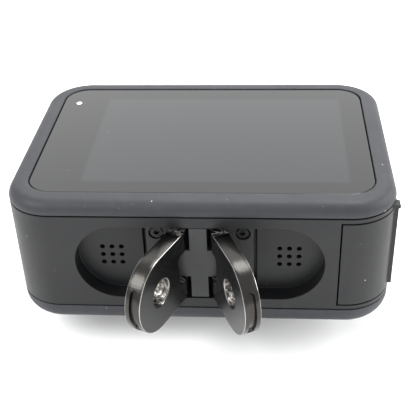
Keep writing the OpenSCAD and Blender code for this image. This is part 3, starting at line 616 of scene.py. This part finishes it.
def bored_metal(name, turn):
    """The bare wall of a finger's hole: turned ribs across its axis, bright and dark flecks, and random dark
    patches painted in for the bore's dark reflections and shade.
    """
    material, tree, shader = new_material(name, (0.34, 0.33, 0.31), 0.25, 1.0)
    lines = use_group(tree, BRUSHING, Turn=turn, Fineness=0.35)
    marks = use_group(tree, SMUDGE, Size=1.1, Contrast=3.0)
    # Random dark patches: painted dark reflection and painted shade in the bore, not pits
    painted_dark_patches = use_group(tree, SMUDGE, Size=0.6, Contrast=7.0)
    layered_colour(tree, shader, (0.4, 0.385, 0.36), marks, "Mask", [(painted_dark_patches, (0.06, 0.057, 0.053))])
    add_rough_range(tree, shader, marks, "Mask", 0.15, 0.4)
    add_bump(tree, shader, lines, "Height", 0.12 * MM)
    return material


def finger_rim(name, turn):
    """The rim of a finger: dark coated metal rubbed to bare grey bronze, brushed round its edge."""
    return metal(name, (0.047, 0.0455, 0.0425), 0.19, 0.27, turn, 0.05, 0.009, 1.0, 0.3, BARE_BRONZE)


def finger_groove(name, turn):
    """The groove in the rim, in the same metal, with a darker, warmer colour that paints the shade and the warm
    reflections inside the groove.
    """
    # Darker and warmer than the rim's colour: painted shade and painted warm reflection in the groove
    return metal(name, (0.045, 0.041, 0.038), 0.18, 0.3, turn, 0.12, 0.008, 1.0, 0.4, BARE_BRONZE)


def finger_edge(name, turn):
    """The narrow chamfer, worn bright."""
    return metal(name, (0.3, 0.29, 0.27), 0.2, 0.32, turn, 0.1, 0.004, 1.0, 0.5, (0.6, 0.58, 0.55))


def chipped_end(name):
    """A knuckle end whose dark coating has chipped to bright metal."""
    material, tree, shader = new_material(name, (0.004, 0.004, 0.005), 0.35)
    chips = use_group(tree, SMUDGE, Size=1.3, Contrast=9.0)
    mixed = colour_mix(tree, (0.004, 0.004, 0.005), (0.42, 0.41, 0.39))
    link(tree, chips, "Mask", mixed, "Factor")
    tree.links.new(mixed.outputs["Result"], shader.inputs["Base Color"])
    link(tree, chips, "Mask", shader, "Metallic")
    add_rough_range(tree, shader, chips, "Mask", 0.4, 0.22)
    add_bump(tree, shader, chips, "Mask", 0.05 * MM)
    return material


# Every finish by its slot. A moulded one gives its colour, low and high roughness, grain size and depth in
# millimetres, amount of rubbed edge, share of dust, and gloss. A metal one gives its colour, low and high
# roughness, the turn of its brushed lines in degrees, their size and depth in millimetres, metal share,
# amount of rubbed edge and its colour.
FINISH = {
    "soft_rubber": moulded("soft_rubber_finish", (0.0145, 0.0155, 0.0188), 0.48, 0.62, 0.16, 0.012,
                           0.15, 0.45, 0.42),
    "band_plastic": moulded("band_plastic_finish", (0.0052, 0.0055, 0.0061), 0.42, 0.52, 0.12, 0.006,
                            0.3, 0.12, 0.35),
    "seal_rubber": moulded("seal_rubber_finish", (0.003, 0.003, 0.003), 0.7, 0.8, 0.1, 0.004, 0.0, 0.05, 0.2),
    "adhesive": moulded("adhesive_finish", (0.005, 0.005, 0.005), 0.5, 0.6, 0.1, 0.004, 0.0, 0.0),
    "button_plastic": moulded("button_finish", (0.008, 0.008, 0.009), 0.35, 0.48, 0.12, 0.005, 0.4, 0.12),
    "bay_plastic": moulded("bay_finish", (0.008, 0.008, 0.009), 0.45, 0.6, 0.15, 0.006, 0.3, 0.1),
    "battery_wrap": moulded("battery_wrap_finish", (0.014, 0.017, 0.024), 0.3, 0.42, 0.25, 0.004, 0.3, 0.1),
    "card_plastic": moulded("card_finish", (0.008, 0.008, 0.009), 0.4, 0.5, 0.12, 0.004, 0.3, 0.1),
    "circuit_board": moulded("circuit_board_finish", (0.004, 0.02, 0.011), 0.35, 0.5, 0.3, 0.006, 0.3, 0.0),
    "tab_film": moulded("tab_film_finish", (0.2, 0.2, 0.19), 0.3, 0.4, 0.2, 0.003, 0.0, 0.0),
    "mesh_black": moulded("mesh_finish", (0.002, 0.002, 0.002), 0.6, 0.7, 0.1, 0.02, 0.0, 0.0, 0.2),
    "display_panel": moulded("display_panel_finish", (0.006, 0.007, 0.008), 0.2, 0.3, 0.1, 0.002, 0.0, 0.0),
    "sensor_chip": moulded("sensor_chip_finish", (0.012, 0.01, 0.02), 0.12, 0.2, 0.1, 0.002, 0.0, 0.0),
    "cover_alloy": metal("cover_alloy_finish", (0.02, 0.02, 0.021), 0.32, 0.44, 0, 0.06, 0.003, 0.6, 0.35,
                         (0.2, 0.19, 0.18)),
    "lens_metal": metal("lens_metal_finish", (0.012, 0.012, 0.013), 0.35, 0.5, 0, 0.08, 0.004, 0.7),
    "shield_steel": metal("shield_steel_finish", (0.3, 0.3, 0.3), 0.28, 0.4),
    "heat_alloy": metal("heat_alloy_finish", (0.35, 0.35, 0.35), 0.35, 0.45),
    "contact_gold": metal("contact_gold_finish", (0.5, 0.34, 0.14), 0.2, 0.3),
    "screw_steel": metal("screw_steel_finish", (0.3, 0.3, 0.3), 0.25, 0.35),
    "black_screw": metal("black_screw_finish", (0.03, 0.03, 0.03), 0.25, 0.4, 0, 0.05, 0.004, 0.9, 0.45,
                         (0.3, 0.29, 0.28)),
    "pin_steel": metal("pin_steel_finish", (0.36, 0.35, 0.34), 0.2, 0.3),
    "plate_alloy": metal("plate_alloy_finish", (0.006, 0.006, 0.007), 0.4, 0.5, 0, 0.06, 0.003, 0.0, 0.3,
                         (0.12, 0.12, 0.115)),
    "finger_alloy": moulded("finger_face_finish", (0.0025, 0.0025, 0.0027), 0.2, 0.3, 0.08, 0.0015, 0.1,
                            0.03),
    "lens_glass": clear_glass("lens_glass_finish", (0.96, 0.98, 1.0)),
    "light_pipe": glowing("light_pipe_finish", (0.95, 0.97, 1.0), 1.6),
    "screen_glass": screen_window("rear_screen_glass", "rear_glass",
                                  REAR_BORDER,
                                  GLASS_BLACK, (0.0105, 0.0115, 0.0125)),
}


# Nodes whose finish differs from their slot's
OWN_FINISH = {
    "centre_post": moulded("post_finish", (0.016, 0.0165, 0.0175), 0.42, 0.52, 0.12, 0.006, 0.3, 0.2, 0.4),
    "front_glass": screen_window("front_screen_glass", "front_glass", FRONT_BORDER,
                                 GLASS_BLACK, (0.009, 0.01, 0.011)),
}


def finish_nodes():
    """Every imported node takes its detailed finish."""
    for name, node in NODES.items():
        for i, material in enumerate(node.data.materials):
            node.data.materials[i] = OWN_FINISH.get(name, FINISH[material.name])


# ---- Casing ----

def make_rear_cover():
    """The soft ring round the rear screen."""
    low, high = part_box("rear_cover")
    outside = outline_of("rear_cover", CASING_CORNER)
    window = grown(outline_of("rear_glass", GLASS_CORNER), GLASS_GAP)
    tiny = SOFT_TIP
    steps = [(grown(outside, -tiny), low.z), (grown(outside, -0.3 * tiny), low.z + 0.3 * tiny)]
    steps += [(outside, low.z + tiny)]
    steps += quarter_round(outside, high.z - REAR_EDGE, REAR_EDGE, 10)
    steps += [(grown(window, 2 * tiny), high.z), (grown(window, 0.6 * tiny), high.z - 0.2 * tiny)]
    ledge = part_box("rear_glass")[0].z - GLASS_BED
    steps += [(window, high.z - tiny), (window, ledge), (grown(window, -GLASS_LEDGE), ledge)]
    steps += [(grown(window, -GLASS_LEDGE), low.z)]
    bm = moulding(steps, ring=True)
    smooth_with_creases(bm)
    piece = mesh_object("rear_cover_ring", bm)
    place_piece(piece, "rear_cover", [FINISH["soft_rubber"]])


def make_window(node, corner, name, material):
    """A flat window with a fine ground edge."""
    low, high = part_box(node)
    shape = outline_of(node, corner)
    outer = high.z if node == "rear_glass" else low.z
    inner = low.z if node == "rear_glass" else high.z
    way = 1 if outer > inner else -1
    outer -= way * LIGHT_PROUD
    edge = GROUND_EDGE
    steps = [(shape, inner), (shape, outer - way * edge)]
    steps += [(grown(shape, -0.3 * edge), outer - way * 0.3 * edge), (grown(shape, -edge), outer)]
    bm = moulding(steps)
    smooth_with_creases(bm, 20)
    piece = mesh_object(name, bm)
    place_piece(piece, node, [material])


def make_casing():
    """Covers, band and windows."""
    make_rear_cover()
    make_window("rear_glass", GLASS_CORNER, "rear_window", FINISH["screen_glass"])
    make_window("front_glass", FRONT_GLASS_CORNER, "front_window", OWN_FINISH["front_glass"])
    softened_node("front_cover", FINISH["soft_rubber"], 0.15 * MM)
    softened_node("middle_band", FINISH["band_plastic"], 0.12 * MM)
    softened_node("centre_post", OWN_FINISH["centre_post"], 0.12 * MM)
    softened_node("hinge_plate", FINISH["plate_alloy"], 0.1 * MM)
    softened_node("side_door", FINISH["band_plastic"], 0.1 * MM)
    softened_node("lens_cover_frame", FINISH["cover_alloy"], 0.15 * MM)
    softened_node("shutter_button", FINISH["button_plastic"], 0.1 * MM, 2)
    softened_node("mode_button", FINISH["button_plastic"], 0.1 * MM, 2)


# ---- Fingers ----

def pin_of(node):
    """The point on a finger's hinge that its joint states."""
    for joint in frame["joints"]:
        if joint["child"] == BODY_OF[node]:
            return Vector(joint["pos_m"])
    raise ValueError(node)


def cut_across(bm, faces, point, normal):
    """Cuts some faces by a plane and returns them with the new ones."""
    geometry = set(faces)
    for face in faces:
        geometry.update(face.edges)
        geometry.update(face.verts)
    cut = bmesh.ops.bisect_plane(bm, geom=list(geometry), plane_co=point, plane_no=normal, dist=1e-7)
    return [g for g in cut["geom"] if isinstance(g, bmesh.types.BMFace)]


def make_finger(side):
    """One folding finger, with a nail groove round its tip: side is -1 for the left and 1 for the right."""
    node = "left_finger" if side < 0 else "right_finger"
    out = Vector((side * math.sin(SPLAY), -math.cos(SPLAY), 0))
    across = Vector((side * math.cos(SPLAY), math.sin(SPLAY), 0))
    up = Vector((0, 0, 1))
    tip = pin_of(node) + out * FINGER_REACH
    bm = merged_copy(node)
    cut_across(bm, bm.faces[:], tip - out * (FINGER_REACH - CHIPPED), out)
    bm.normal_update()
    bevel_finger_edges(bm, tip, out, across)
    cut_nail_groove(bm, tip, out, across, up)
    mark_finger_faces(bm, tip, out, across)
    bmesh.ops.recalc_face_normals(bm, faces=bm.faces)
    smooth_with_creases(bm, 28)
    keep_sides_flat(bm, across)
    piece = mesh_object(node + "_finished", bm)
    turn = -side * math.degrees(SPLAY)
    finishes = [FINISH["finger_alloy"], finger_rim(node + "_rim", turn), bored_metal(node + "_bore", turn),
                finger_groove(node + "_groove", turn), finger_edge(node + "_edge", turn),
                chipped_end(node + "_knuckle")]
    place_piece(piece, node, finishes)


def keep_sides_flat(bm, across):
    """Leaves the line crisp where a flat side ends, so its shading stays even."""
    bm.normal_update()
    for edge in bm.edges:
        flat = [abs(face.normal.dot(across)) > 0.999 for face in edge.link_faces]
        if any(flat) and not all(flat):
            edge.smooth = False


def bevel_finger_edges(bm, tip, out, across):
    """A narrow bright chamfer round the rim and round the hole."""
    rim = []
    hole = []
    for edge in bm.edges:
        if len(edge.link_faces) != 2 or edge.calc_face_angle(0) < math.radians(50):
            continue
        middle = (edge.verts[0].co + edge.verts[1].co) / 2 - tip
        if abs(abs(middle.dot(across)) - FINGER_THICK / 2) > SIDE_SLACK:
            continue
        flat = middle - across * middle.dot(across)
        if flat.length < FINGER_HOLE + HOLE_SLACK:
            hole.append(edge)
        elif flat.dot(out) > -FINGER_REACH + PLAIN_KNUCKLE:
            rim.append(edge)
    bmesh.ops.bevel(bm, geom=rim, offset=RIM_CHAMFER, offset_type="OFFSET", affect="EDGES", segments=2,
                    profile=0.5, material=EDGE, clamp_overlap=False)
    hole = [edge for edge in hole if edge.is_valid]
    bmesh.ops.bevel(bm, geom=hole, offset=HOLE_CHAMFER, offset_type="OFFSET", affect="EDGES", segments=2,
                    profile=0.5, material=EDGE, clamp_overlap=False)


def cut_nail_groove(bm, tip, out, across, up, half_angle=34, low=3, half_width=0.66 * MM,
                    deep=0.55 * MM):
    """A flat-bottomed groove round the tip's rim, with round ends."""
    def rim_faces():
        found = []
        for face in bm.faces:
            middle = face.calc_center_median() - tip
            flat = middle - across * middle.dot(across)
            if face.material_index == SIDE and abs(face.normal.dot(across)) < 0.3 and middle.dot(out) > 0:
                if flat.length > FINGER_ROUND * 0.9:
                    found.append(face)
        return found
    bm.normal_update()
    for place in (-1.0, -0.86, -0.72, -0.4, 0, 0.4, 0.72, 0.86, 1.0):
        cut_across(bm, rim_faces(), tip + across * place * half_width, across)
        bm.normal_update()
    for i in range(-CUT_SWEEP, CUT_SWEEP + 1):
        if abs(i) < COARSE_SWEEP and i % COARSE_STEP:
            continue
        turn = math.radians(i)
        cut_across(bm, rim_faces(), tip, up * math.cos(turn) - out * math.sin(turn))
        bm.normal_update()
    moved = {vertex for face in rim_faces() for vertex in face.verts}
    for vertex in moved:
        middle = vertex.co - tip
        aside = middle.dot(across)
        flat = middle - across * aside
        past = abs(math.atan2(flat.dot(up), flat.dot(out)) + math.radians(low)) - math.radians(half_angle)
        apart = math.hypot(aside, max(past, 0) * FINGER_ROUND)
        share = min(max((half_width - apart) / (0.28 * half_width), 0), 1)
        vertex.co -= flat.normalized() * deep * share * share * (3 - 2 * share)


def mark_finger_faces(bm, tip, out, across):
    """Sorts the faces by finish: flat sides, rim, hole, groove, chamfer and knuckle ends."""
    bm.normal_update()
    for face in bm.faces:
        if face.material_index == EDGE:
            continue
        middle = face.calc_center_median() - tip
        flat = middle - across * middle.dot(across)
        along = flat.dot(out)
        aside = abs(middle.dot(across))
        if abs(face.normal.dot(across)) > 0.9:
            face.material_index = SIDE
        elif flat.length < FINGER_HOLE + BORE_SLACK:
            face.material_index = BORE
        elif along > 0 and aside < GROOVE_HALF and flat.length < FINGER_ROUND - GROOVE_START:
            face.material_index = GROOVE
        elif along < -FINGER_REACH + CHIPPED:
            face.material_index = KNUCKLE if abs(face.normal.z) > 0.7 else SIDE
        else:
            face.material_index = RIM


# ---- The whole camera ----

add_camera()
add_floor()
add_light()
finish_nodes()
make_casing()
make_finger(-1)
make_finger(1)
